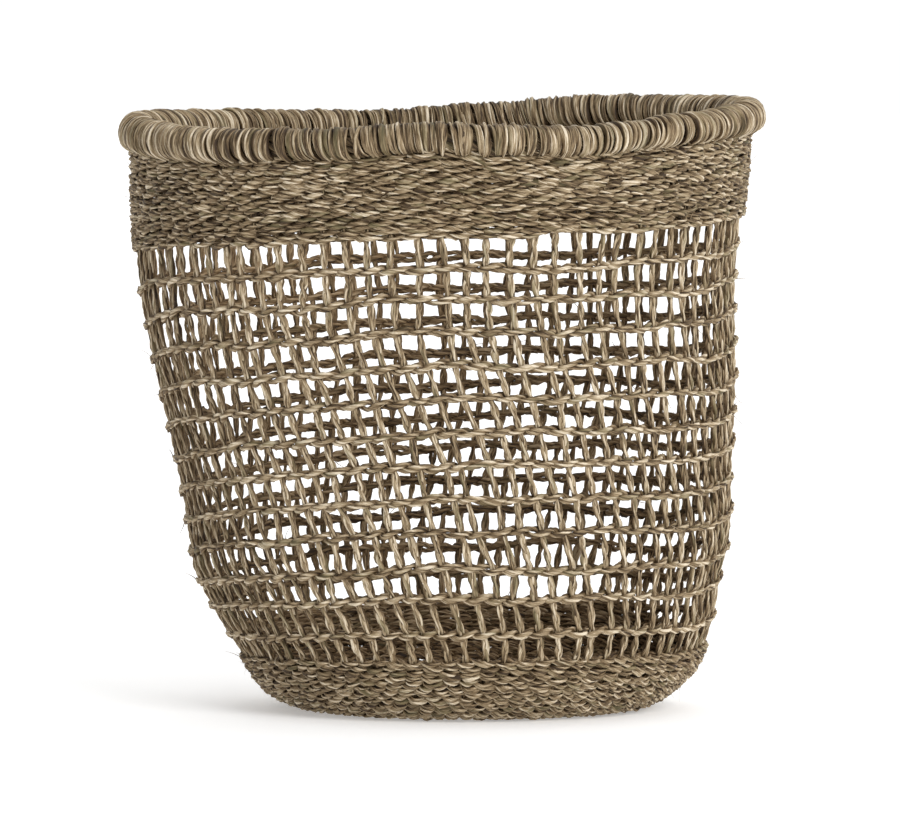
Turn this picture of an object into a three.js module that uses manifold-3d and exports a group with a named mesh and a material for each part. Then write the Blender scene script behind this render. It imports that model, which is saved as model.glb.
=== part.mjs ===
// Round storage basket of twined seagrass, in millimetres, +Z up, standing on z = 0.
//
// Eighty stakes start as sixteen bundles crossed in the base, run out to its corner and climb to the rim.
// Two-strand twining holds them: solid in the base, the lower band and the upper band, and in twelve
// spaced rows between the bands, which leaves the wall open. One strand of each pair passes outside the
// stakes and the other inside, and they meet where the row was folded over to start it. A coiled core
// bound round with split strands makes the rim.
//
// Every piece is first made for a true round basket, then set into its handmade shape by settle(),
// which leans the wall, tips the rows, lets them sag and makes the rim a little uneven.
import * as THREE from "three";
import { mergeVertices } from "three/addons/utils/BufferGeometryUtils.js";
import Module from "manifold-3d";

const wasm = await Module();
wasm.setup();

// Driving dimensions.
const RIM_WIDTH = 400; // over the rim, left to right
const DEPTH_SHARE = 0.97; // the rim's depth front to back, as a share of its width
const RIM_TUBE_RADIUS = 10.5;
const RIM_CENTRE_Z = 360.5;
const CORE_RADIUS = 6;
const STAKES = 80;
const BUNDLES = 16;
const STAKE_WIDTH = 4;
const STAKE_THICKNESS = 3.4;
const STAKE_MID_Z = 5.6; // height of the stakes' middle inside the base
const OPEN_ROWS = 12;
const TOP_ROW_Z = 278.5;
const ROW_PITCH = 20.3;
const ROW_HEIGHT = 4.6;
const STRAND_THICKNESS = 2.6; // of a twining strand beside the stakes
const BAND_OUTER_THICKNESS = 3.4;
const UPPER_BAND_Z = [293, 348.6];
const CLEARANCE = 0.5; // between pieces that lie against each other
const RING_SIDES = 24;
const TWIST = THREE.MathUtils.degToRad(11.5); // how far the stakes drift round between the bands
const TWIST_Z = [40, 262];

// The wall's middle surface as radius and height, from inside the base to the rim.
const BUNDLE_RADIUS = 58; // where the bundles fan out into stakes
const STAKE_END_Z = RIM_CENTRE_Z - RIM_TUBE_RADIUS + 2;
const PROFILE_STEP = 30; // longest straight run of a stake
const PROFILE = divided([
  [BUNDLE_RADIUS - 2, STAKE_MID_Z],
  [108, STAKE_MID_Z],
  [122.7, 12.5],
  [136.5, 26],
  [142, 39],
  [150.5, 58],
  [164.8, 104],
  [168.4, 150],
  [174.1, 191],
  [186.2, 306],
  [188.6, STAKE_END_Z],
]);
const LOWER_BAND_Z = [6.4, 36];

// The points with more set between them where they are far apart up the wall.
function divided(pairs) {
  const points = pairs.map(([r, z]) => new THREE.Vector2(r, z));
  return points.flatMap((p, i) => {
    const before = points[i - 1];
    if (!before) return [p];
    const runs = Math.max(1, Math.ceil((p.y - before.y) / PROFILE_STEP));
    return Array.from({ length: runs }, (_, k) => before.clone().lerp(p, (k + 1) / runs));
  });
}

// Handmade shape: how far each height has moved from a true round basket.
const LEAN_SWING = 10;
const LEAN_HALF_WAVE = 300;
const ROW_TILT = 9;
const TILT_HALF_WAVE = 370;
const RIM_TILT = 4;
const RIM_TIP = 4;
const SADDLE = 4.9;
const SADDLE_HALF_WAVE = 320;
const WALL_RADIUS = 185;
const MIDDLE_SHIFT = 3.2; // how far the middle of the wall stands out to the right
const SHIFT_Z = [100, 280];
const FOOT_SHIFT = 2.6; // and how far the lower band does
const FOOT_GROWS_Z = [8, 30];
const FOOT_FADES_Z = [40, 80];

// How far the rows sag on their way round, as degrees from the right-hand side and millimetres.
const ROW_SAG = [
  [-180, 7.5],
  [-150, 1.5],
  [-100, 0],
  [-62, 4.3],
  [-32, 3],
  [0, -5],
  [45, 8],
  [85, 8],
  [150, 4],
  [180, 7.5],
];
const SAG_GROWS_Z = [10, 120];
const SAG_FADES_Z = [250, 345];

const { smoothstep } = THREE.MathUtils;

function leanAt(z) {
  const between = THREE.MathUtils.clamp((z - SHIFT_Z[0]) / (SHIFT_Z[1] - SHIFT_Z[0]), 0, 1);
  const middleShift = MIDDLE_SHIFT * Math.sin(Math.PI * between) ** 2;
  const footShift = FOOT_SHIFT * smoothstep(z, ...FOOT_GROWS_Z) * (1 - smoothstep(z, ...FOOT_FADES_Z));
  return LEAN_SWING * Math.cos((Math.PI * z) / LEAN_HALF_WAVE) + middleShift + footShift;
}

function sagAt(x, y, z) {
  const degrees = THREE.MathUtils.radToDeg(Math.atan2(y, x));
  const after = Math.max(ROW_SAG.findIndex(([at]) => at >= degrees), 1);
  const [from, low] = ROW_SAG[after - 1];
  const [to, high] = ROW_SAG[after];
  const sag = low + (high - low) * smoothstep(degrees, from, to);
  return sag * smoothstep(z, ...SAG_GROWS_Z) * (1 - smoothstep(z, ...SAG_FADES_Z));
}

function settle(geometry) {
  const place = geometry.getAttribute("position");
  for (let i = 0; i < place.count; i += 1) {
    const [x, y, z] = [place.getX(i), place.getY(i), place.getZ(i)];
    const across = x / WALL_RADIUS;
    const along = y / WALL_RADIUS;
    const height = z / RIM_CENTRE_Z;
    const tilt = ROW_TILT * Math.sin((Math.PI * z) / TILT_HALF_WAVE) + RIM_TILT * height;
    const tip = RIM_TIP * height ** 6;
    const saddle = -SADDLE * Math.sin((Math.PI * z) / SADDLE_HALF_WAVE);
    place.setXYZ(
      i,
      x + leanAt(z) - leanAt(RIM_CENTRE_Z),
      y * DEPTH_SHARE,
      z + tilt * across + tip * along + saddle * (across ** 2 - along ** 2) - sagAt(x, y, z),
    );
  }
  return geometry;
}

// The profile's point at a height on the wall, with the unit direction up the wall.
function wallAt(z) {
  const i = PROFILE.findIndex((p) => p.y >= z);
  const [low, high] = [PROFILE[i - 1], PROFILE[i]];
  const point = low.clone().lerp(high, (z - low.y) / (high.y - low.y));
  return { point, up: high.clone().sub(low).normalize() };
}

function wallBetween([low, high]) {
  const between = PROFILE.filter((p) => p.y > low && p.y < high);
  return [wallAt(low).point, ...between, wallAt(high).point];
}

const outward = (up) => new THREE.Vector2(up.y, -up.x);

// A run of profile points moved out by a distance, mitred so that the gap stays even.
function offset(points, distance) {
  return points.map((p, i) => {
    const before = points[Math.max(i - 1, 0)];
    const after = points[Math.min(i + 1, points.length - 1)];
    const ups = [p.clone().sub(before), after.clone().sub(p)]
      .filter((v) => v.length() > 0)
      .map((v) => v.normalize());
    const normal = ups.reduce((sum, up) => sum.add(outward(up)), new THREE.Vector2()).normalize();
    return p.clone().addScaledVector(normal, distance / normal.dot(outward(ups[0])));
  });
}

function solidOf(geometry) {
  const bare = geometry.clone();
  bare.deleteAttribute("normal");
  bare.deleteAttribute("uv");
  const merged = mergeVertices(bare, 1e-4);
  return new wasm.Manifold(
    new wasm.Mesh({
      numProp: 3,
      vertProperties: merged.getAttribute("position").array,
      triVerts: new Uint32Array(merged.index.array),
    }),
  );
}

function geometryOf(solid) {
  const mesh = solid.getMesh();
  const geometry = new THREE.BufferGeometry();
  geometry.setAttribute("position", new THREE.BufferAttribute(mesh.vertProperties, 3));
  geometry.setIndex(new THREE.BufferAttribute(mesh.triVerts, 1));
  return geometry;
}

const join = (geometries) => geometryOf(geometries.map(solidOf).reduce((a, b) => a.add(b)));

// A closed outline of [radius, z] points turned about +Z. Lathes turn about +Y, so it is tipped upright.
function ring(outline, sides = RING_SIDES) {
  const area = THREE.ShapeUtils.area(outline);
  const points = area < 0 ? [...outline].reverse() : [...outline];
  const closes = points[0].x > 0 || points[points.length - 1].x > 0;
  if (closes) points.push(points[0].clone());
  return new THREE.LatheGeometry(points, sides).rotateX(Math.PI / 2);
}

// How much further out a flat side's corners lie than its middle.
const CORNER_STRETCH = 1 / Math.cos(Math.PI / RING_SIDES);
const stretched = (points) => points.map((p) => new THREE.Vector2(p.x * CORNER_STRETCH, p.y));

// The two layers of twining over a run of the profile: outside and inside the stakes.
function courses(run, outerThickness) {
  const near = STAKE_THICKNESS / 2 + CLEARANCE;
  const outer = [...offset(run, near), ...offset(run, near + outerThickness).reverse()];
  const inner = [...offset(run, -near), ...offset(run, -near - STRAND_THICKNESS).reverse()];
  return [ring(stretched(outer)), ring(inner)];
}

const drift = (z) => TWIST * (1 - smoothstep(z, ...TWIST_Z));
const stakeAngle = (index, z) => (2 * Math.PI * index) / STAKES + drift(z);

// The fold that joins the outer and inner layers, in the gap after the numbered stake.
function fold(z, stakeIndex, height) {
  const { point, up } = wallAt(z);
  const reach = STAKE_THICKNESS + 2 * CLEARANCE + 1.6 * STRAND_THICKNESS;
  const width = STAKE_WIDTH * 0.75;
  const lean = Math.atan2(-up.x, up.y);
  return new THREE.BoxGeometry(reach, width, height)
    .rotateY(-lean)
    .translate(point.x, 0, z)
    .rotateZ(stakeAngle(stakeIndex + 0.5, z));
}

function openRow(index) {
  const z = TOP_ROW_Z - ROW_PITCH * index;
  const { point, up } = wallAt(z);
  const run = [-0.5, 0.5].map((share) => point.clone().addScaledVector(up, share * ROW_HEIGHT));
  const startStake = 43 + 5 * index; // each row starts a little further round the back
  return join([...courses(run, STRAND_THICKNESS), fold(z, startStake, ROW_HEIGHT * 0.7)]);
}

function band(heights, startStake) {
  const layers = courses(wallBetween(heights), BAND_OUTER_THICKNESS);
  const middle = (heights[0] + heights[1]) / 2;
  return join([...layers, fold(middle, startStake, ROW_HEIGHT)]);
}

// The woven base: a layer under the stakes and one over them, joined where the bundles cross.
const BASE_RADIUS = 107;
const CROSSING_RADIUS = 11.5;
function baseMat() {
  const stakeUnderside = STAKE_MID_Z - STAKE_THICKNESS / 2 - CLEARANCE;
  const stakeTop = STAKE_MID_Z + STAKE_THICKNESS / 2 + CLEARANCE;
  const outline = [
    [0, 0],
    [BASE_RADIUS, 0],
    [BASE_RADIUS, stakeUnderside],
    [CROSSING_RADIUS, stakeUnderside],
    [CROSSING_RADIUS, stakeTop],
    [BASE_RADIUS - 2, stakeTop],
    [BASE_RADIUS - 2, stakeTop + STRAND_THICKNESS],
    [0, stakeTop + STRAND_THICKNESS],
  ].map(([r, z]) => new THREE.Vector2(r, z));
  return ring(outline);
}

// One stake: a long box bent along the profile, from the bundle to the rim.
function stake(index) {
  const middle = PROFILE;
  const outer = offset(middle, STAKE_THICKNESS / 2);
  const inner = offset(middle, -STAKE_THICKNESS / 2);
  const steps = middle.length - 1;
  const box = new THREE.BoxGeometry(STAKE_WIDTH, 2, steps, 1, 1, steps);
  const place = box.getAttribute("position");
  for (let i = 0; i < place.count; i += 1) {
    const step = Math.round(place.getZ(i) + steps / 2);
    const side = (place.getY(i) > 0 ? outer : inner)[step];
    const angle = stakeAngle(index, middle[step].y);
    const across = -place.getX(i);
    place.setXYZ(
      i,
      side.x * Math.cos(angle) - across * Math.sin(angle),
      side.x * Math.sin(angle) + across * Math.cos(angle),
      side.y,
    );
  }
  return box;
}

// The flat bundle in the base that a group of stakes fans out from.
function bundleRoot(firstStake, count) {
  const half = Math.PI / BUNDLES;
  const gap = CLEARANCE / 2;
  const inner = CROSSING_RADIUS / Math.cos(half) + 2 * CLEARANCE;
  const outer = BUNDLE_RADIUS;
  const shape = new THREE.Shape([
    new THREE.Vector2(inner * Math.cos(half), -inner * Math.sin(half) + gap),
    new THREE.Vector2(outer * Math.cos(half), -outer * Math.sin(half) + gap),
    new THREE.Vector2(outer, 0),
    new THREE.Vector2(outer * Math.cos(half), outer * Math.sin(half) - gap),
    new THREE.Vector2(inner * Math.cos(half), inner * Math.sin(half) - gap),
  ]);
  const middleStake = firstStake + (count - 1) / 2;
  return new THREE.ExtrudeGeometry(shape, { depth: STAKE_THICKNESS, bevelEnabled: false })
    .translate(0, 0, STAKE_MID_Z - STAKE_THICKNESS / 2)
    .rotateZ(stakeAngle(middleStake, 0));
}

function stakeBundle(bundle) {
  const count = STAKES / BUNDLES;
  const first = bundle * count;
  const stakes = Array.from({ length: count }, (_, k) => stake(first + k));
  return join([bundleRoot(first, count), ...stakes]);
}

const RIM_RADIUS = RIM_WIDTH / 2 - RIM_TUBE_RADIUS;

// Points on a circle round the rim's centreline, between two angles measured from straight down.
function tubeArc(radius, from, to, steps) {
  return Array.from({ length: steps + 1 }, (_, k) => {
    const angle = -Math.PI / 2 + THREE.MathUtils.lerp(from, to, k / steps);
    return new THREE.Vector2(
      RIM_RADIUS + radius * Math.cos(angle),
      RIM_CENTRE_Z + radius * Math.sin(angle),
    );
  });
}

const rimCore = () => ring(tubeArc(CORE_RADIUS, 0, 2 * Math.PI, 6).slice(0, -1));

// The binding wraps the core and is open underneath, where the stakes enter it.
function rimBinding() {
  const mouth = THREE.MathUtils.degToRad(26);
  const inside = (CORE_RADIUS + 2 * CLEARANCE) / Math.cos(Math.PI / 12);
  const outline = [
    ...tubeArc(RIM_TUBE_RADIUS, mouth, 2 * Math.PI - mouth, 8),
    ...tubeArc(inside, mouth * 1.3, 2 * Math.PI - mouth * 1.3, 6).reverse(),
  ];
  return ring(outline);
}

const seagrass = (colour) =>
  new THREE.MeshStandardMaterial({ color: colour, roughness: 0.75, metalness: 0 });
const MATERIALS = {
  twining: seagrass(0x7d6c54),
  stakes: seagrass(0x86745a),
  binding: seagrass(0x8a785c),
  core: seagrass(0x6f5f48),
};

const basket = new THREE.Group();
function place(name, geometry, material) {
  const mesh = new THREE.Mesh(settle(geometry), material);
  mesh.name = name;
  basket.add(mesh);
}

const two = (n) => String(n).padStart(2, "0");
place("base_mat", baseMat(), MATERIALS.twining);
place("lower_band", band(LOWER_BAND_Z, 50), MATERIALS.twining);
place("upper_band", band(UPPER_BAND_Z, 30), MATERIALS.twining);
place("rim_core", rimCore(), MATERIALS.core);
place("rim_binding", rimBinding(), MATERIALS.binding);
for (let row = 0; row < OPEN_ROWS; row += 1) {
  place(`twined_row_${two(row + 1)}`, openRow(row), MATERIALS.twining);
}
for (let bundle = 0; bundle < BUNDLES; bundle += 1) {
  place(`stake_bundle_${two(bundle + 1)}`, stakeBundle(bundle), MATERIALS.stakes);
}

// The origin is the middle of the footprint of the whole basket, on the floor.
const extent = new THREE.Box3().setFromObject(basket);
const middle = extent.getCenter(new THREE.Vector3());
basket.children.forEach((mesh) => mesh.geometry.translate(-middle.x, -middle.y, -extent.min.z));

export default basket;
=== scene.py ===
import math

import bpy
import numpy as np
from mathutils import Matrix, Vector


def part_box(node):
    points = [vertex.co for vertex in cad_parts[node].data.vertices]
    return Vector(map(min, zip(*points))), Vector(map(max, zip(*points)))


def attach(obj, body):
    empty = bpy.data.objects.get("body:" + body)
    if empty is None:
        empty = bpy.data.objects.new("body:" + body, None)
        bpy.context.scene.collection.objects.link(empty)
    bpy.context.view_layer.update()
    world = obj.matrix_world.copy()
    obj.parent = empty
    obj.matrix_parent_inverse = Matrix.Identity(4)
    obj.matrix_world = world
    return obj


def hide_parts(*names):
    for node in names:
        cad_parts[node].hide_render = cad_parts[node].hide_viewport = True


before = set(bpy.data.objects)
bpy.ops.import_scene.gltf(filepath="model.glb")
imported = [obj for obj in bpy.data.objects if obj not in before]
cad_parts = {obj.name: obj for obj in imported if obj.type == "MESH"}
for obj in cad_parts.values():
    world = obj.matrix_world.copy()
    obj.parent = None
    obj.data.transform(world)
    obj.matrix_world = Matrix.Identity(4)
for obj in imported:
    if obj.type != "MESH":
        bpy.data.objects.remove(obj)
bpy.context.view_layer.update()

rng = np.random.default_rng(11)
TAU = 2 * math.pi

# ---------------------------------------------------------------- the basket's shape, in millimetres
MM = 0.001
RIM_TUBE = 10.5
_rim_low, _rim_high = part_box("rim_binding")
RIM_WIDTH = (_rim_high[0] - _rim_low[0]) / MM
RIM_MIDDLE_X = (_rim_high[0] + _rim_low[0]) / 2 / MM
RIM_Z = 360.5
RIM_RADIUS = RIM_WIDTH / 2 - RIM_TUBE
DEPTH_SHARE = 0.97
STAKES = 80
BUNDLES = 16
OPEN_ROWS = 12
TOP_ROW_Z = 278.5
ROW_PITCH = 20.3
BASE_MIDDLE_Z = 4.7
WALL = np.array([
    (0, BASE_MIDDLE_Z), (108, BASE_MIDDLE_Z), (122.7, 12.2), (136.5, 26), (142, 39), (150.5, 58),
    (164.8, 104), (168.4, 150), (174.1, 191), (186.2, 306), (188.8, 353), (189.5, 366),
])
LEAN_SWING = 10
LEAN_HALF_WAVE = 300
ROW_TILT = 9
TILT_HALF_WAVE = 370
RIM_TILT = 4
RIM_TIP = 4
SADDLE = 4.9
SADDLE_HALF_WAVE = 320
WALL_RADIUS = 185
TWIST = math.radians(11.5)
TWIST_Z = (40, 262)
MIDDLE_SHIFT = 3.2
SHIFT_Z = (100, 280)
FOOT_SHIFT = 2.6
FOOT_GROWS_Z = (8, 30)
FOOT_FADES_Z = (40, 80)
SAG_GROWS_Z = (10, 120)
SAG_FADES_Z = (250, 345)
DENTS_GROW_Z = (10, 120)
DENTS_FADE_Z = (330, 352)
RISE_GROWS_Z = (315, 356)
SOFTEN_OVER = 23  # the wall's corners are rounded off over this length
FLAT_BASE = 60  # the base is flat for at least this far from its middle

# How far the rows sag, and how far the rim rises or sinks, on their way round: degrees from the right-hand
# side and millimetres.
ROW_SAG = np.array([
    (-180, 7.5), (-150, 1.5), (-100, 0), (-62, 4.3), (-32, 3), (0, -5),
    (45, 8), (85, 8), (150, 4), (180, 7.5),
])
RIM_RISE = np.array([
    (-180, 0), (-139, -3.4), (-112, -1.2), (-94, 2.6), (-80, -0.4), (-62, -3.6), (-40, -1.2), (0, 0),
    (30, 0.8), (62, 3.0), (80, 0), (105, -3.4), (140, -1.6), (180, 0),
])


def smooth(x, low=0.0, high=1.0):
    """Zero up to low, one from high on, and a soft step between."""
    t = np.clip((x - low) / (high - low), 0, 1)
    return t * t * (3 - 2 * t)


def soften(values):
    """Round off the corners of a line of values a millimetre apart, keeping its ends."""
    kernel = np.hanning(SOFTEN_OVER) / np.hanning(SOFTEN_OVER).sum()
    padded = np.pad(values, SOFTEN_OVER // 2, mode="reflect", reflect_type="odd")
    return np.convolve(padded, kernel, mode="valid")


def wall_curve():
    """The wall's middle surface at every millimetre along it from the base's middle.

    Gives the distances, the radius and height there, and the radius and height of the outward normal.
    """
    steps = np.hypot(*np.diff(WALL, axis=0).T)
    knots = np.concatenate([[0], np.cumsum(steps)])
    s = np.arange(0, knots[-1], 1.0)
    r = soften(np.interp(s, knots, WALL[:, 0]))
    z = soften(np.interp(s, knots, WALL[:, 1]))
    dr, dz = np.gradient(r), np.gradient(z)
    length = np.hypot(dr, dz)
    return s, r, z, dz / length, -dr / length


S, WALL_R, WALL_Z, NORMAL_R, NORMAL_Z = wall_curve()


def along_wall(z):
    """Distance along the wall at which it reaches height z."""
    return float(np.interp(z, WALL_Z[FLAT_BASE:], S[FLAT_BASE:]))


def ripple(theta, count, size, seed):
    """A smooth uneven curve round the basket: the sum of a few waves."""
    local = np.random.default_rng(seed)
    value = np.zeros_like(theta)
    for wave in count:
        value += local.normal() * np.cos(wave * theta + local.uniform(0, TAU)) / math.sqrt(len(count))
    return size * value


def place(theta, s, d):
    """Points in millimetres for angle round, distance along the wall and distance out from its middle."""
    r = np.interp(s, S, WALL_R)
    z = np.interp(s, S, WALL_Z)
    free = smooth(z, *DENTS_GROW_Z) * (1 - smooth(z, *DENTS_FADE_Z))
    dent = ripple(theta + z * 0.004, (3, 5, 8), 0.9, 1) + ripple(theta - z * 0.009, (7, 12), 0.5, 2)
    r = r + d * np.interp(s, S, NORMAL_R) + dent * free
    z = z + d * np.interp(s, S, NORMAL_Z)
    return settle(r * np.cos(theta), r * np.sin(theta), z)


def on_the_way_round(table, x, y):
    """The second column of a table, smoothly, at the places x and y; its first column is degrees."""
    degrees = np.degrees(np.arctan2(y, x))
    after = np.clip(np.searchsorted(table[:, 0], degrees, side="right"), 1, len(table) - 1)
    low, high = table[after - 1], table[after]
    return low[..., 1] + (high - low)[..., 1] * smooth((degrees - low[..., 0]) / (high - low)[..., 0])


def lean(z):
    """How far the basket's middle lies to the side at height z."""
    between = np.clip((z - SHIFT_Z[0]) / (SHIFT_Z[1] - SHIFT_Z[0]), 0, 1)
    middle_shift = MIDDLE_SHIFT * np.sin(math.pi * between) ** 2
    foot_shift = FOOT_SHIFT * smooth(z, *FOOT_GROWS_Z) * (1 - smooth(z, *FOOT_FADES_Z))
    return LEAN_SWING * np.cos(math.pi * z / LEAN_HALF_WAVE) + middle_shift + foot_shift


def settle(x, y, z):
    """From a true round basket to this handmade one."""
    across, along, height = x / WALL_RADIUS, y / WALL_RADIUS, z / RIM_Z
    tilt = ROW_TILT * np.sin(math.pi * z / TILT_HALF_WAVE) + RIM_TILT * height
    tip = RIM_TIP * np.clip(height, 0, 2) ** 6
    saddle = -SADDLE * np.sin(math.pi * z / SADDLE_HALF_WAVE)
    sag = on_the_way_round(ROW_SAG, x, y) * smooth(z, *SAG_GROWS_Z) * (1 - smooth(z, *SAG_FADES_Z))
    rise = on_the_way_round(RIM_RISE, x, y) * smooth(z, *RISE_GROWS_Z)
    return np.stack([
        x + lean(z) - lean(RIM_Z) + RIM_MIDDLE_X,
        y * DEPTH_SHARE,
        z + tilt * across + tip * along + saddle * (across**2 - along**2) - sag + rise,
    ], axis=-1)


def outward(theta, s):
    """Unit vectors pointing out of the wall."""
    r, z = np.interp(s, S, NORMAL_R), np.interp(s, S, NORMAL_Z)
    return np.stack([r * np.cos(theta), r * np.sin(theta), z], axis=-1)


# ---------------------------------------------------------------- strands
def wander(count, x, wavelength, loop=False):
    """Smooth random values for each of count strands at distances x along it, about one in size."""
    x = np.broadcast_to(x, (count, x.shape[-1]))
    if loop:
        knots = max(3, round(float(x.max()) / wavelength))
        u = x / (x.max() + 1e-9) * knots
    else:
        knots = int(x.max() / wavelength) + 3
        u = x / wavelength
    values = rng.standard_normal((count, knots))
    i = np.floor(u).astype(int)
    f = smooth(u - i)
    low = np.take_along_axis(values, i % knots, 1)
    high = np.take_along_axis(values, (i + 1) % knots, 1)
    return low * (1 - f) + high * f


SIDE_SHADE_WIDTH = 0.42  # how far round a strand the painted shade along its side reaches
# how much painted shade darkens a strand's sides
SIDE_SHADE_DEPTH = 0.36
LOBES = 3  # plies that show on a strand
UNEVEN = 0.035  # how rough a strand's surface is, as a share of its size


def unit(v):
    return v / np.maximum(np.linalg.norm(v, axis=-1, keepdims=True), 1e-9)


def sweep(path, face, wide, thick, sides=10, lobe=0.14, twist=0.16, loop=False, tone=0.0,
          shade=1.0, hidden=0.0):
    """Strands swept along path, an array of (strand, step, xyz) in millimetres.

    face points out of the broad side; wide and thick are half sizes. lobe is how deep the plies' creases are.
    tone is how light it is. shade is how much painted shade darkens a strand where it turns away from the
    outside, and hidden how much painted shade darkens it where it runs inside.
    """
    count, steps, _ = path.shape
    if loop:
        ahead, behind = np.roll(path, -1, 1), np.roll(path, 1, 1)
    else:
        ahead = np.concatenate([path[:, 1:], 2 * path[:, -1:] - path[:, -2:-1]], 1)
        behind = np.concatenate([2 * path[:, :1] - path[:, 1:2], path[:, :-1]], 1)
    tangent = unit(ahead - behind)
    normal = unit(face - (face * tangent).sum(-1, keepdims=True) * tangent)
    side = np.cross(tangent, normal)
    step_length = np.linalg.norm(np.diff(path, axis=1), axis=-1)
    along = np.concatenate([np.zeros((count, 1)), np.cumsum(step_length, 1)], 1)
    angle = np.arange(sides) * TAU / sides
    if loop:
        turns = np.round(twist * along[:, -1:] / TAU) * TAU
        turned = turns * np.arange(steps) / steps
    else:
        turned = twist * along
    start = rng.uniform(0, TAU, (count, 1))
    plies = lobe * np.cos(LOBES * (angle - turned[..., None] - start[..., None]))
    split = 0.5 * lobe * np.cos((2 * LOBES + 1) * (angle - 0.6 * turned[..., None] + start[..., None]))
    size = 1 + plies + split + UNEVEN * rng.standard_normal((count, steps, sides))
    wide, thick = (np.broadcast_to(v, (count, steps))[..., None] * size for v in (wide, thick))
    points = (
        path[:, :, None]
        + normal[:, :, None] * (thick * np.cos(angle))[..., None]
        + side[:, :, None] * (wide * np.sin(angle))[..., None]
    )
    number = rng.uniform(0, 900, (count, 1, 1))
    turn = angle - turned[..., None]
    grain = np.stack([
        np.broadcast_to(along[..., None] + number * 7, turn.shape),
        np.cos(turn) + number,
        np.sin(turn) - number,
    ], axis=-1)
    # painted shade along each strand's sides, where it turns from the outside
    side_shade = np.exp(-((np.cos(angle) / SIDE_SHADE_WIDTH) ** 2))
    # painted light and shade: the plies' ridges are painted lighter and their creases darker, and the sides
    # darker by the side shade
    tones = np.broadcast_to(tone, (count, steps))[..., None] + 1.5 * plies - SIDE_SHADE_DEPTH * side_shade
    # painted shade where a strand turns away from the outside and where it runs inside
    away = shade * (1 - smooth(np.cos(angle), -0.4, 0.85))
    shades = np.maximum(np.broadcast_to(hidden, (count, steps))[..., None], away)
    return points, grain, tones, shades, loop


def build(name, sweeps, material, nodes):
    """One mesh of many swept strands, standing for CAD nodes."""
    points, quads, grains, tones, shades = [], [], [], [], []
    first = 0
    for swept, grain, tone, shade, loop in sweeps:
        count, steps, sides, _ = swept.shape
        index = first + np.arange(count * steps * sides).reshape(count, steps, sides)
        if loop:
            index = np.concatenate([index, index[:, :1]], 1)
        here, after = index[:, :-1], index[:, 1:]
        quads.append(np.stack([
            here, np.roll(here, -1, 2), np.roll(after, -1, 2), after,
        ], axis=-1).reshape(-1, 4))
        points.append(swept.reshape(-1, 3))
        grains.append(grain.reshape(-1, 3))
        tones.append(tone.reshape(-1))
        shades.append(shade.reshape(-1))
        first += count * steps * sides
    points = np.concatenate(points) * MM
    quads = np.concatenate(quads)
    grains = np.concatenate(grains)
    points[:, 2] = np.maximum(points[:, 2], 0)  # strands lie flat where they rest on the floor
    mesh = bpy.data.meshes.new(name)
    mesh.vertices.add(len(points))
    mesh.vertices.foreach_set("co", points.astype(np.float32).ravel())
    mesh.loops.add(quads.size)
    mesh.loops.foreach_set("vertex_index", quads.astype(np.int32).ravel())
    mesh.polygons.add(len(quads))
    mesh.polygons.foreach_set("loop_start", np.arange(0, quads.size, 4, dtype=np.int32))
    mesh.polygons.foreach_set("use_smooth", np.ones(len(quads), bool))
    mesh.update(calc_edges=True)
    mesh.attributes.new("grain", "FLOAT_VECTOR", "POINT").data.foreach_set(
        "vector", grains.astype(np.float32).ravel())
    for key, values in (("tone", tones), ("shade", shades)):
        mesh.attributes.new(key, "FLOAT", "POINT").data.foreach_set(
            "value", np.concatenate(values).astype(np.float32))
    mesh.materials.append(material)
    obj = bpy.data.objects.new(name, mesh)
    bpy.context.scene.collection.objects.link(obj)
    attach(obj, "root")
    if nodes:
        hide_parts(*nodes)
    return obj


# ---------------------------------------------------------------- stakes
ROW_S = [along_wall(TOP_ROW_Z - ROW_PITCH * i) for i in range(OPEN_ROWS)]
ROW_SHIFT = rng.normal(0, 0.7, OPEN_ROWS)
STAKES_PER_BUNDLE = STAKES // BUNDLES
STAKE_STEPS = 190
GRIP = 2.6  # how far along a stake the squeeze of a row reaches
BAND_EDGE = 2
BAND_PITCH = 3.15
BASE_PITCH = 3.9
BAND_TONE = -0.12  # painted shade: the close bands are painted a little darker than the open rows, to even out the light that falls on them from above
LOWER_ROWS = 15
SHORT_ROWS = 5  # let in round the back, above the lower band
LOWER_TOP_S = along_wall(38)
UPPER_ROWS = 19
UPPER_SPLIT = 9  # the upper band is two meshes, and the higher one starts at this row
UPPER_LOW_S = along_wall(299.6)

# Where each stake stands at a few heights: it runs straight between them and bends where a row grips it.
KNOT_S = np.array([0.0, 60.0, LOWER_TOP_S] + ROW_S[::-1] + [UPPER_LOW_S, S[-1]])
OWN_JITTER = math.radians(0.38)
SHARED_JITTER = math.radians(0.3)
SHARED_BY = 4  # stakes that lean alike


def stake_jitter():
    """How far each stake stands off its even place at each knot: its own wandering and its neighbours'."""
    jitter = np.zeros((STAKES, len(KNOT_S)))
    for knot in range(2, len(KNOT_S)):
        jitter[:, knot] = 0.62 * jitter[:, knot - 1] + rng.normal(0, OWN_JITTER, STAKES)
    groups = STAKES // SHARED_BY
    shared = rng.normal(0, SHARED_JITTER, (groups, len(KNOT_S)))
    for knot in range(3, len(KNOT_S)):
        jitter[:, knot] += np.interp(
            np.arange(STAKES), np.arange(groups) * SHARED_BY, shared[:, knot], period=STAKES)
    return jitter


JITTER = stake_jitter()


def stake_angle(index, s):
    """Angle of one stake at distances s along the wall."""
    z = np.interp(s, S, WALL_Z)
    turn = TWIST * (1 - smooth(z, *TWIST_Z))
    return TAU * index / STAKES + turn + np.interp(s, KNOT_S, JITTER[index])


# A bundle's middle stake starts nearest the base's middle; the others are let in further out.
LET_IN = (54.0, 31.0, 13.0, 31.0, 54.0)
BASE_SPREAD = math.radians(3.0)
BASE_SPREAD_S = (46, 60)


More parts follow.
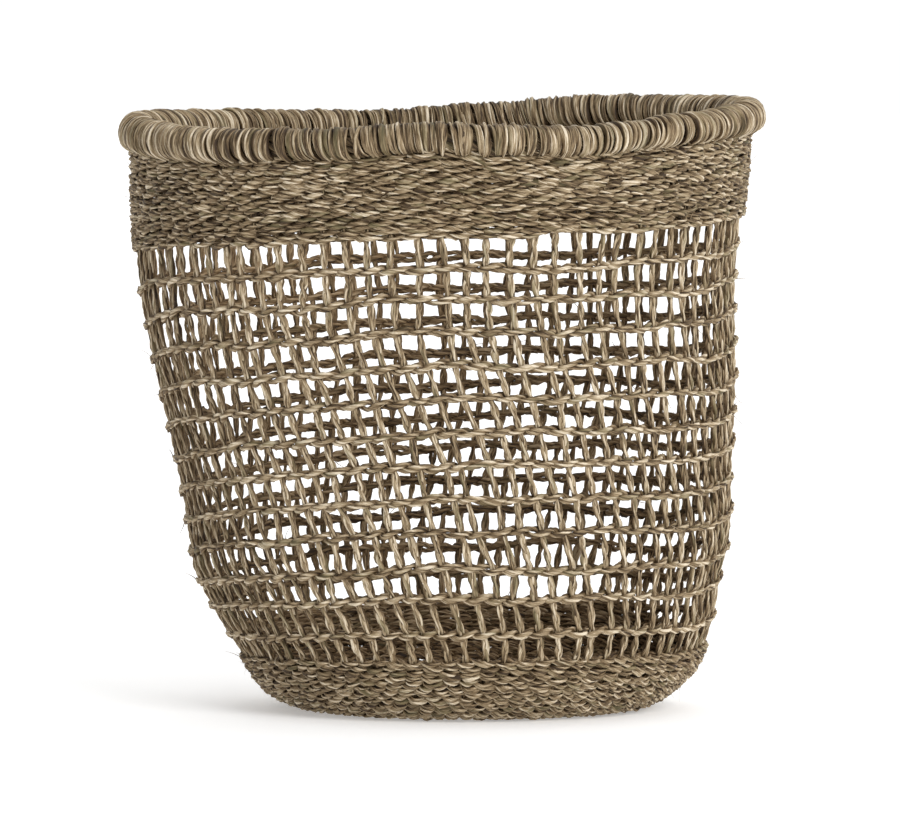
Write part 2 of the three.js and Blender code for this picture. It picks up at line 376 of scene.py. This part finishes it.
def base_spread(member, s):
    """How far a stake sits from its bundle's middle inside the base, beyond where it ends up on the wall."""
    extra = BASE_SPREAD * (1 - smooth(s, *BASE_SPREAD_S))
    return {1: -extra, 3: extra}.get(member, np.zeros_like(s))


def angles_at(s):
    """Angles, in order, of the stakes that a twined row at distance s takes hold of."""
    found = []
    for index in range(STAKES):
        member = index % STAKES_PER_BUNDLE
        if s > LET_IN[member] + 2:
            here = np.array([s])
            found.append(float(stake_angle(index, here)[0] + base_spread(member, here)[0]))
    return np.array(found)


def held(s):
    """One where an open row squeezes a stake, zero between the rows."""
    return sum(np.exp(-(((s - row) / GRIP) ** 2)) for row in ROW_S)


def in_a_band(s):
    """One inside the close bands, where the twining keeps light off the stakes."""
    upper = smooth(s, UPPER_LOW_S - BAND_EDGE, UPPER_LOW_S + BAND_EDGE)
    return upper + 1 - smooth(s, LOWER_TOP_S - BAND_EDGE, LOWER_TOP_S + BAND_EDGE)


def stake_bundle(bundle):
    """Five stakes, each of two plies twisted together, from the base to the rim."""
    sweeps = []
    for member in range(STAKES_PER_BUNDLE):
        index = bundle * STAKES_PER_BUNDLE + member
        s = np.linspace(LET_IN[member], S[-1] - 1, STAKE_STEPS)
        theta = stake_angle(index, s) + base_spread(member, s)
        gap = max(0.92, rng.normal(1.05, 0.15))
        pitch = rng.uniform(17, 34) * rng.choice([1, 1, 1, 1.6])
        phase = rng.uniform(0, TAU) + s / pitch * TAU + 0.5 * wander(1, s, 30)[0]
        half = rng.normal(1.28, 0.10)
        mean_r = np.maximum(np.interp(s, S, WALL_R), 8)
        paths, faces = [], []
        for ply in (0, math.pi):
            across = gap * np.cos(phase + ply) * (1 - 0.2 * held(s))
            d = gap * 0.72 * np.sin(phase + ply) * (1 - 0.4 * held(s))
            t = theta + across / mean_r
            paths.append(place(t, s, d))
            faces.append(outward(t, s))
        path, face = np.array(paths), np.array(faces)
        size = half * (1 + 0.10 * wander(2, s, 14) + 0.07 * wander(2, s, 45)) * (1 - 0.14 * held(s))
        # painted shade: the stakes are painted darker inside the close bands, where the twining keeps light
        # off them
        tone = 0.10 * rng.standard_normal((2, 1)) + 0.10 * wander(2, s, 40) - 0.5 * in_a_band(s)
        sweeps.append(sweep(path, face, size * 1.05, size * 0.95, sides=9, lobe=0.2, tone=tone, shade=0.9))
    return sweeps


# ---------------------------------------------------------------- twining
def twined_row(s_row, wide, thick, reach_out, reach_in, sway, per_gap=8, sides=10, wave=None,
               strand_tone=0.07, flare=0.08, slip=0.25, droop=0.15, span=None, shade=0.8, unrest=0.28,
               mean_tone=0.0):
    """Two strands twined round the stakes at distance s_row along the wall; wave shifts the row along it.

    wide and thick are the strands' half sizes, and reach_out and reach_in how far from the wall's middle they
    pass outside and inside a stake. sway is how far they rise or sink where they cross between two stakes.
    slip is how unevenly the crossings sit between the stakes, droop how far each strand sags where it passes
    outside one, and unrest how much it wanders. span is the part of the way round that a short row covers.
    """
    angles = angles_at(s_row)
    loop = span is None
    if loop:
        knots = np.append(angles, angles[0] + TAU)
    else:
        knots = angles[(angles > span[0]) & (angles < span[1])]
    gaps = len(knots) - 1
    steps = gaps * per_gap
    t = np.arange(steps) / per_gap
    theta = np.interp(t, np.arange(gaps + 1), knots)
    shift = wave(theta) if wave else 0 * theta
    arc = (theta - theta[0]) * np.interp(s_row, S, WALL_R)
    uneven = slip * wander(1, arc, 70, loop)[0] + 0.4 * slip * wander(1, arc, 17, loop)[0]
    offset = slip * rng.uniform(-1.5, 1.5)
    loose = 1 + 0.25 * wander(2, arc, 22, loop)
    sag = droop * (0.8 + 0.9 * wander(1, arc, 90, loop)[0])
    paths, faces, hidden = [], [], []
    for strand in range(2):
        phase = math.pi * (t + strand) + uneven + offset
        swing = np.sign(np.cos(phase)) * np.abs(np.cos(phase)) ** 0.75
        d = np.where(swing > 0, reach_out, reach_in) * swing
        d = d + 0.22 * wander(1, arc, 15, loop)[0]
        s = s_row + shift + sway * np.sin(phase) * loose[strand] - sag * swing
        s = s + unrest * (wander(1, arc, 14, loop)[0] + 0.35 * wander(1, arc, 7, loop)[0])
        paths.append(place(theta, s, d))
        faces.append(outward(theta, s))
        # painted shade on the stretches that run inside the stakes, seen through the gaps
        hidden.append(0.8 * smooth(-swing, -0.35, 0.7))
    size = 1 + flare * wander(2, arc, 12, loop) + 0.07 * wander(2, arc, 70, loop)
    belly = np.array([0.80 + 0.26 * np.abs(np.cos(math.pi * t + uneven + offset))] * 2)
    tone = mean_tone + strand_tone * rng.standard_normal((2, 1))
    tone = tone + 0.07 * wander(2, arc, 60, loop) + 0.08 * wander(2, arc, 14, loop)
    return sweep(np.array(paths), np.array(faces), wide * size * belly, thick * size, sides=sides,
                 lobe=0.24, twist=0.24, loop=loop, tone=tone, shade=shade, hidden=np.array(hidden))


def row_wave(index):
    """How an open row wanders up and down; neighbours wander alike."""
    def wave(theta):
        shared = ripple(theta + 0.05 * index, (3, 4, 6), 0.7, 40 + index // 4)
        own = ripple(theta, (5, 7, 9, 13, 17, 22), 0.95, 60 + index)
        return shared + own + ROW_SHIFT[index]
    return wave


def band_wave(seed, row):
    """How a row of a close band wanders up and down, partly with the whole band."""
    def wave(theta):
        shared = ripple(theta, (5, 9, 14), 0.5, seed)
        return shared + ripple(theta, (9, 17, 29, 41), 0.42, seed + 1 + row)
    return wave


def open_row(index):
    return [twined_row(
        ROW_S[index], wide=1.85, thick=1.25, reach_out=2.5, reach_in=2.5, sway=1.42,
        wave=row_wave(index), slip=0.35, strand_tone=0.1, shade=0.9,
    )]


UPPER_SEED = 200
LOWER_SEED = 300


def upper_band(rows):
    sweeps = []
    for row in rows:
        s = UPPER_LOW_S + BAND_PITCH * row
        sweeps.append(twined_row(
            s, wide=1.55, thick=1.45, reach_out=3.4, reach_in=2.6, sway=0.72, sides=9,
            wave=band_wave(UPPER_SEED, row), flare=0.17, slip=0.9, shade=0.95,
            strand_tone=0.13, unrest=0.5, mean_tone=BAND_TONE,
        ))
    return sweeps


def lower_band():
    sweeps = []
    for row in range(LOWER_ROWS):
        s = LOWER_TOP_S - BAND_PITCH * row
        sweeps.append(twined_row(
            s, wide=1.55, thick=1.4, reach_out=3.2, reach_in=2.6, sway=0.2, sides=9,
            wave=band_wave(LOWER_SEED, row), flare=0.17, slip=1.1, droop=0.05, shade=0.9,
            strand_tone=0.13, unrest=0.6, mean_tone=BAND_TONE,
        ))
    for row in range(SHORT_ROWS):
        s = LOWER_TOP_S + BAND_PITCH * (row + 1)
        inset = 0.15 * row
        sweeps.append(twined_row(
            s, wide=1.6, thick=1.25, reach_out=3.0, reach_in=2.8, sway=0.7, sides=9,
            wave=band_wave(LOWER_SEED, 30 + row), flare=0.13, slip=0.3, shade=0.5,
            span=(0.2 + inset, math.pi - inset),
        ))
    return sweeps


PLAIT_EDGE_S = 17


def steps_per_gap(s):
    """Steps from one stake to the next: more near the base's middle, where fewer stakes are let in."""
    if s > 58:
        return 7
    return 10 if s > 35 else 16


def base_mat():
    """Twined rows from the lower band in to the plait in the middle."""
    sweeps = []
    s = LOWER_TOP_S - BAND_PITCH * LOWER_ROWS
    while s > PLAIT_EDGE_S:
        sweeps.append(twined_row(
            s, wide=1.6, thick=1.25, reach_out=3.1, reach_in=2.9, sway=0.9,
            per_gap=steps_per_gap(s), sides=8,
        ))
        s -= BASE_PITCH
    sweeps += centre_plait()
    return sweeps


def centre_plait():
    """The stakes' crossing in the middle of the base: strands woven over and under each other."""
    pitch, half, strands = 4.6, 19.0, 8
    u = np.linspace(-half, half, 60)
    paths, faces = [], []
    for line in range(strands):
        at = (line - (strands - 1) / 2) * pitch
        rise = 1.35 * np.cos(math.pi * (u / pitch + line))
        for turned in (False, True):
            height = BASE_MIDDLE_Z + (rise if turned else -rise)
            x, y = (u, np.full_like(u, at)) if turned else (np.full_like(u, at), u)
            paths.append(settle(x, y, height))
            faces.append(np.tile([0.0, 0.0, -1.0], (len(u), 1)))
    return [sweep(np.array(paths), np.array(faces), 2.1, 1.3, sides=8)]


# ---------------------------------------------------------------- rim
def rim_frame(theta, turn, radius):
    """Points round the rim's tube: turn is zero on top and grows outwards."""
    r = RIM_RADIUS + radius * np.sin(turn)
    z = RIM_Z + radius * np.cos(turn)
    return settle(r * np.cos(theta), r * np.sin(theta), z)


def rim_face(theta, turn):
    """Unit vectors pointing out of the rim's tube."""
    return np.stack([np.sin(turn) * np.cos(theta), np.sin(turn) * np.sin(theta), np.cos(turn)], axis=-1)


WRAP_PITCH = 3.35
WRAP_RADIUS = 9.4  # of the turn that a wrap makes round the rim's tube
WRAP_SEAT = 9.3  # of a wrap's middle line from the tube's, before its own bulge
WRAP_ENDS = math.radians(164)  # a wrap runs this far round to each side of the top
WRAP_STEPS = 30
CORE_STRANDS = 7
CORE_STEPS = 420
CORE_TURNS = 9
CORE_RADIUS = 4.9
# How far the wraps lean from upright on their way round: degrees from the right-hand side and slope.
WRAP_LEAN = np.array([
    (-180, 0.32), (-148, 0.46), (-125, 0.28), (-95, 0.24), (-72, 0.04), (-50, 0.04), (-25, 0.26), (0, 0.26),
    (45, 0.34), (68, 0.48), (100, 0.2), (180, 0.32),
])
RIM_WRAPS = int(TAU * RIM_RADIUS / WRAP_PITCH)


def rim_wraps():
    """Split strands wound side by side round the core, each wrap of one or two plies."""
    gaps = np.clip(rng.normal(1, 0.11, RIM_WRAPS), 0.75, 1.25)
    ends = np.cumsum(gaps) / gaps.sum() * TAU
    theta0, lean, bulge, tone, half = [], [], [], [], []
    for start, gap in zip(ends, gaps):
        plies = rng.choice([1, 2], p=[0.86, 0.14])
        width = WRAP_PITCH * gap
        wrap_lean = float(on_the_way_round(WRAP_LEAN, math.cos(start), math.sin(start)))
        wrap_lean += 0.06 * rng.standard_normal() + float(ripple(np.array([start]), (2, 5, 9), 0.05, 500)[0])
        wrap_tone = 0.08 * rng.standard_normal()
        wrap_rise = 0.2 * rng.standard_normal()
        for ply in range(plies):
            share = (ply + 0.5) / plies - 0.5
            theta0.append(start + share * width * 0.92 / RIM_RADIUS)
            lean.append(wrap_lean + 0.02 * rng.standard_normal())
            bulge.append(wrap_rise + 0.5 + 0.3 * rng.standard_normal())
            tone.append(wrap_tone + 0.13 * rng.standard_normal())
            half.append(width / plies * 0.56)
    count = len(theta0)
    turn = np.broadcast_to(np.linspace(-WRAP_ENDS, WRAP_ENDS, WRAP_STEPS), (count, WRAP_STEPS))
    theta0, lean, bulge, tone, half = (np.array(v)[:, None] for v in (theta0, lean, bulge, tone, half))
    length = turn[0] * WRAP_RADIUS - turn.min() * WRAP_RADIUS
    bow = 0.28 * wander(count, length, 16)
    theta = theta0 + (lean * WRAP_RADIUS * turn + bow) / RIM_RADIUS
    radius = WRAP_SEAT + bulge + 0.14 * wander(count, length, 10) - 0.9 * smooth(np.abs(turn), 2.0, 2.6)
    path = rim_frame(theta, turn, radius)
    size = half * (1 + 0.10 * wander(count, length, 9)) * (1 - 0.2 * smooth(np.abs(turn), 1.9, 2.6))
    tone = tone + 0.08 * wander(count, length, 14)
    return [sweep(path, rim_face(theta, turn), size, 0.3 + 0.75 * size, sides=9, lobe=0.26,
                  twist=0.03, tone=tone, shade=0.9)]


def rim_core():
    """The bundle of grass that the binding holds."""
    theta = np.arange(CORE_STEPS) * TAU / CORE_STEPS
    paths, faces = [], []
    for strand in range(CORE_STRANDS):
        turn = TAU * strand / CORE_STRANDS + CORE_TURNS * theta
        radius = CORE_RADIUS + 0.2 * wander(1, theta * RIM_RADIUS, 60, loop=True)[0]
        paths.append(rim_frame(theta, turn, radius))
        faces.append(rim_face(theta, turn))
    return [sweep(np.array(paths), np.array(faces), 2.7, 2.6, sides=8, loop=True)]


# ---------------------------------------------------------------- loose fibres
FIBRE_LENGTH = 14.0
FIBRE_STEPS = 9


def loose_fibres(count, low, high):
    """Thin ends of grass that stand off the wall between two distances along it."""
    u = np.linspace(0, 1, FIBRE_STEPS)
    theta0 = rng.uniform(0, TAU, (count, 1))
    s0 = rng.uniform(low, high, (count, 1))
    length = rng.uniform(0.35, 1, (count, 1)) * FIBRE_LENGTH
    heading = rng.uniform(0, TAU, (count, 1))
    off = rng.uniform(0.2, 0.75, (count, 1)) * rng.choice([-1, 1, 1, 1], (count, 1))
    curl = rng.normal(0, 0.9, (count, 1))
    way = heading + curl * u
    s = s0 + length * np.cumsum(np.sin(way), 1) / FIBRE_STEPS
    r = np.interp(s, S, WALL_R)
    theta = theta0 + length * np.cumsum(np.cos(way), 1) / FIBRE_STEPS / r
    d = np.sign(off) * 3.2 + off * length * u**1.5
    path = place(theta, np.clip(s, 0, S[-1]), d)
    size = rng.uniform(0.14, 0.32, (count, 1)) * (1 - 0.7 * u)
    tone = 0.25 * rng.standard_normal((count, 1))
    return sweep(path, outward(theta, s), size, size, sides=4, lobe=0.0, tone=tone)


# ---------------------------------------------------------------- materials
def srgb(*levels):
    """Linear colour for 0..255 display levels."""
    values = [v / 255 for v in levels]
    return [v / 12.92 if v <= 0.04045 else ((v + 0.055) / 1.055) ** 2.4 for v in values] + [1.0]


def node(tree, kind, **settings):
    """A new shader node with its inputs and its own settings given by name."""
    made = tree.nodes.new(kind)
    for key, value in settings.items():
        if key in made.inputs:
            made.inputs[key].default_value = value
        else:
            setattr(made, key, value)
    return made


def attribute(tree, name):
    return node(tree, "ShaderNodeAttribute", attribute_name=name)


def maths(tree, operation, *values):
    """A maths node on two or three values, each a number or another node's output."""
    made = tree.nodes.new("ShaderNodeMath")
    made.operation = operation
    for socket, value in zip(made.inputs, values):
        if isinstance(value, (int, float)):
            socket.default_value = value
        else:
            tree.links.new(value, socket)
    return made.outputs[0]


def stretched(tree, vector, along, around):
    """A strand's own coordinates, scaled along it and around it."""
    scale = node(tree, "ShaderNodeVectorMath", operation="MULTIPLY")
    scale.inputs[1].default_value = (along, around, around)
    tree.links.new(vector, scale.inputs[0])
    return scale.outputs[0]


def noise(tree, vector, detail=3.0, rough=0.6):
    made = node(tree, "ShaderNodeTexNoise", Detail=detail, Roughness=rough, Scale=1.0)
    tree.links.new(vector, made.inputs["Vector"])
    return made.outputs["Fac"]


def ramp_between(tree, value, low, high):
    """Zero up to low and one from high on."""
    made = node(tree, "ShaderNodeMapRange")
    made.inputs["From Min"].default_value = low
    made.inputs["From Max"].default_value = high
    tree.links.new(value, made.inputs["Value"])
    return made.outputs[0]


def mix(tree, factor, a, b, blend="MIX"):
    """The colour of output a blended with the plain colour b, as far as factor says."""
    made = node(tree, "ShaderNodeMix", data_type="RGBA", blend_type=blend)
    tree.links.new(factor, made.inputs[0])
    tree.links.new(a, made.inputs[6])
    made.inputs[7].default_value = b
    return made.outputs[2]


GREEN_PATCH = (116, 110, 76)
RED_FLECK = (96, 62, 36)
AWAY = (0.56, 0.46, 0.35, 1.0)  # painted shade: how much of each colour is left where a strand turns away from the outside and where it runs inside


def grass(name, stops, tint=0.0, gloss=0.62, bump=0.5):
    """Dry grass: streaks along each strand, slow changes of colour, green and red patches, worn sheen,
    painted light and shade.
    """
    material = bpy.data.materials.new(name)
    material.use_nodes = True
    tree = material.node_tree
    shader = tree.nodes["Principled BSDF"]
    link = tree.links.new
    grain = attribute(tree, "grain").outputs["Vector"]
    streaks = noise(tree, stretched(tree, grain, 0.06, 1.4), 3.0, 0.6)
    fine = noise(tree, stretched(tree, grain, 0.14, 4.2), 4.0, 0.7)
    slow = noise(tree, stretched(tree, grain, 0.028, 0.4), 2.0, 0.5)
    flecks = noise(tree, stretched(tree, grain, 0.5, 2.2), 3.0, 0.7)
    # the tone attribute holds each strand's own lightness together with painted light and shade on its plies
    # and sides
    tone = attribute(tree, "tone").outputs["Fac"]
    value = maths(tree, "MULTIPLY_ADD", streaks, 2.2, -0.56 + tint)
    value = maths(tree, "ADD", value, maths(tree, "MULTIPLY", maths(tree, "SUBTRACT", fine, 0.5), 2.1))
    value = maths(tree, "ADD", value, maths(tree, "MULTIPLY", maths(tree, "SUBTRACT", slow, 0.5), 0.9))
    value = maths(tree, "ADD", value, maths(tree, "MULTIPLY", tone, 0.8))
    ramp = tree.nodes.new("ShaderNodeValToRGB")
    link(value, ramp.inputs[0])
    elements = ramp.color_ramp.elements
    for position, _colour in stops[2:]:
        elements.new(position)
    for element, (position, colour) in zip(elements, sorted(stops)):
        element.position = position
        element.color = srgb(*colour)
    hue = noise(tree, stretched(tree, grain, 0.018, 0.35), 1.0, 0.5)
    green_share = maths(tree, "MULTIPLY", ramp_between(tree, hue, 0.56, 0.72), 0.45)
    green = mix(tree, green_share, ramp.outputs[0], srgb(*GREEN_PATCH))
    red_share = maths(tree, "MULTIPLY", ramp_between(tree, flecks, 0.68, 0.80), 0.45)
    red = mix(tree, red_share, green, srgb(*RED_FLECK))
    # painted shade: the colour is multiplied towards AWAY as far as the shade attribute says
    shade = attribute(tree, "shade").outputs["Fac"]
    final = mix(tree, shade, red, AWAY, blend="MULTIPLY")
    link(final, shader.inputs["Base Color"])
    rough = maths(tree, "MULTIPLY_ADD", fine, 0.35, gloss - 0.12)
    link(rough, shader.inputs["Roughness"])
    shader.inputs["Specular IOR Level"].default_value = 0.35
    height = maths(tree, "ADD", streaks, maths(tree, "MULTIPLY", fine, 0.6))
    bumped = node(tree, "ShaderNodeBump", Strength=bump, Distance=0.0006)
    link(height, bumped.inputs["Height"])
    link(bumped.outputs[0], shader.inputs["Normal"])
    return material


DARK = (56, 40, 22)
BROWN = (116, 96, 68)
KHAKI = (156, 136, 106)
STRAW = (188, 170, 140)
CREAM = (226, 212, 188)
TWINING = grass("twined_grass", [(0.0, DARK), (1.0, CREAM), (0.31, BROWN), (0.58, KHAKI), (0.82, STRAW)])
STAKE = grass("stake_grass", [(0.0, DARK), (1.0, CREAM), (0.26, BROWN), (0.52, KHAKI), (0.79, STRAW)])
# painted shade: the binding's tint is darkened to even out the light that falls on the rim from above
BINDING = grass("split_binding", [(0.0, DARK), (1.0, CREAM), (0.31, BROWN), (0.58, KHAKI), (0.82, STRAW)],
                tint=-0.09)
CORE = grass("coil_core", [(0.0, (36, 26, 15)), (1.0, KHAKI), (0.4, (70, 54, 34)), (0.7, BROWN)])

# ---------------------------------------------------------------- the pieces
def numbered(name, index):
    return f"{name}_{index + 1:02d}"


def make_rows():
    for row in range(OPEN_ROWS):
        sweeps = open_row(row) + [loose_fibres(12, ROW_S[row] - 3, ROW_S[row] + 3)]
        build(numbered("row", row), sweeps, TWINING, [numbered("twined_row", row)])


def make_bands():
    """Both close bands; the upper one's lower half stands for its CAD node."""
    split_s = UPPER_LOW_S + 30
    low_half = upper_band(range(0, UPPER_SPLIT)) + [loose_fibres(40, UPPER_LOW_S, split_s)]
    build("upper_band_low", low_half, TWINING, ["upper_band"])
    high_half = upper_band(range(UPPER_SPLIT, UPPER_ROWS)) + [loose_fibres(30, split_s, S[-1] - 14)]
    build("upper_band_high", high_half, TWINING, [])
    lower = lower_band() + [loose_fibres(40, LOWER_TOP_S - 36, LOWER_TOP_S)]
    build("low_band", lower, TWINING, ["lower_band"])


def make_stakes():
    for bundle in range(BUNDLES):
        node_name = numbered("stake_bundle", bundle)
        build(numbered("stakes", bundle), stake_bundle(bundle), STAKE, [node_name])


make_rows()
make_bands()
build("base_weave", base_mat(), TWINING, ["base_mat"])
make_stakes()
build("rim_wraps", rim_wraps(), BINDING, ["rim_binding"])
build("rim_coil", rim_core(), CORE, ["rim_core"])

# ---------------------------------------------------------------- floor, light and camera
FLOOR_HALF = 30.0
FLOOR_GLOW = 0.32
FRONT_FILL = 0.36
BACKDROP = 1.02
OVERHEAD = 1.35
LEFT_SHARE = 0.42
SUN_STRENGTH = 1.8
SUN_FROM = Vector((0.58, -0.95, 0.55))
SUN_ANGLE = math.radians(28)
CAMERA_LENS = 322
CAMERA_AT = (0.005, -5.0, 0.43)
CAMERA_TARGET = Vector((0.005, 0, 0.185))


def make_floor():
    mesh = bpy.data.meshes.new("floor")
    corners = [(x * FLOOR_HALF, y * FLOOR_HALF, 0) for x, y in ((-1, -1), (1, -1), (1, 1), (-1, 1))]
    mesh.from_pydata(corners, [], [(0, 1, 2, 3)])
    material = bpy.data.materials.new("floor")
    material.use_nodes = True
    shader = material.node_tree.nodes["Principled BSDF"]
    shader.inputs["Base Color"].default_value = (0.93, 0.93, 0.93, 1)
    shader.inputs["Roughness"].default_value = 0.9
    shader.inputs["Emission Color"].default_value = (1, 1, 1, 1)
    shader.inputs["Emission Strength"].default_value = FLOOR_GLOW
    mesh.materials.append(material)
    floor = bpy.data.objects.new("floor", mesh)
    bpy.context.scene.collection.objects.link(floor)


def between(tree, value, inputs, outputs):
    """A smooth change from one output to the other as the value goes between the inputs."""
    made = node(tree, "ShaderNodeMapRange", interpolation_type="SMOOTHSTEP")
    ends = zip(("From Min", "From Max", "To Min", "To Max"), inputs + outputs)
    for key, end in ends:
        made.inputs[key].default_value = end
    tree.links.new(value, made.inputs["Value"])
    return made.outputs[0]


def make_world():
    """A white studio, brightest behind the basket and dimmer on the camera's side and on the left."""
    world = bpy.data.worlds.new("studio")
    bpy.context.scene.world = world
    world.use_nodes = True
    tree = world.node_tree
    direction = tree.nodes.new("ShaderNodeTexCoord")
    split = tree.nodes.new("ShaderNodeSeparateXYZ")
    tree.links.new(direction.outputs["Generated"], split.inputs[0])
    front_to_back = between(tree, split.outputs["Y"], (-0.6, 0.6), (FRONT_FILL, BACKDROP))
    left_to_right = between(tree, split.outputs["X"], (-0.7, -0.15), (LEFT_SHARE, 1.0))
    background = tree.nodes["Background"]
    background.inputs["Color"].default_value = (1, 1, 1, 1)
    upward = between(tree, split.outputs["Z"], (0.3, 0.9), (1.0, OVERHEAD))
    strength = maths(tree, "MULTIPLY", maths(tree, "MULTIPLY", front_to_back, left_to_right), upward)
    horizon = between(tree, split.outputs["Z"], (0.06, 0.16), (BACKDROP, 0.0))
    strength = maths(tree, "MAXIMUM", strength, horizon)
    tree.links.new(strength, background.inputs["Strength"])


def make_sun():
    data = bpy.data.lights.new("sun", "SUN")
    data.energy = SUN_STRENGTH
    data.angle = SUN_ANGLE
    sun = bpy.data.objects.new("sun", data)
    sun.rotation_euler = SUN_FROM.to_track_quat("Z", "Y").to_euler()
    bpy.context.scene.collection.objects.link(sun)


def make_camera():
    data = bpy.data.cameras.new("camera")
    data.sensor_width = 36
    data.lens = CAMERA_LENS
    data.clip_end = 100
    camera = bpy.data.objects.new("camera", data)
    camera.location = CAMERA_AT
    camera.rotation_euler = (CAMERA_TARGET - camera.location).to_track_quat("-Z", "Y").to_euler()
    bpy.context.scene.collection.objects.link(camera)
    bpy.context.scene.camera = camera


make_floor()
make_world()
make_sun()
make_camera()
bpy.context.scene.view_settings.view_transform = "Standard"
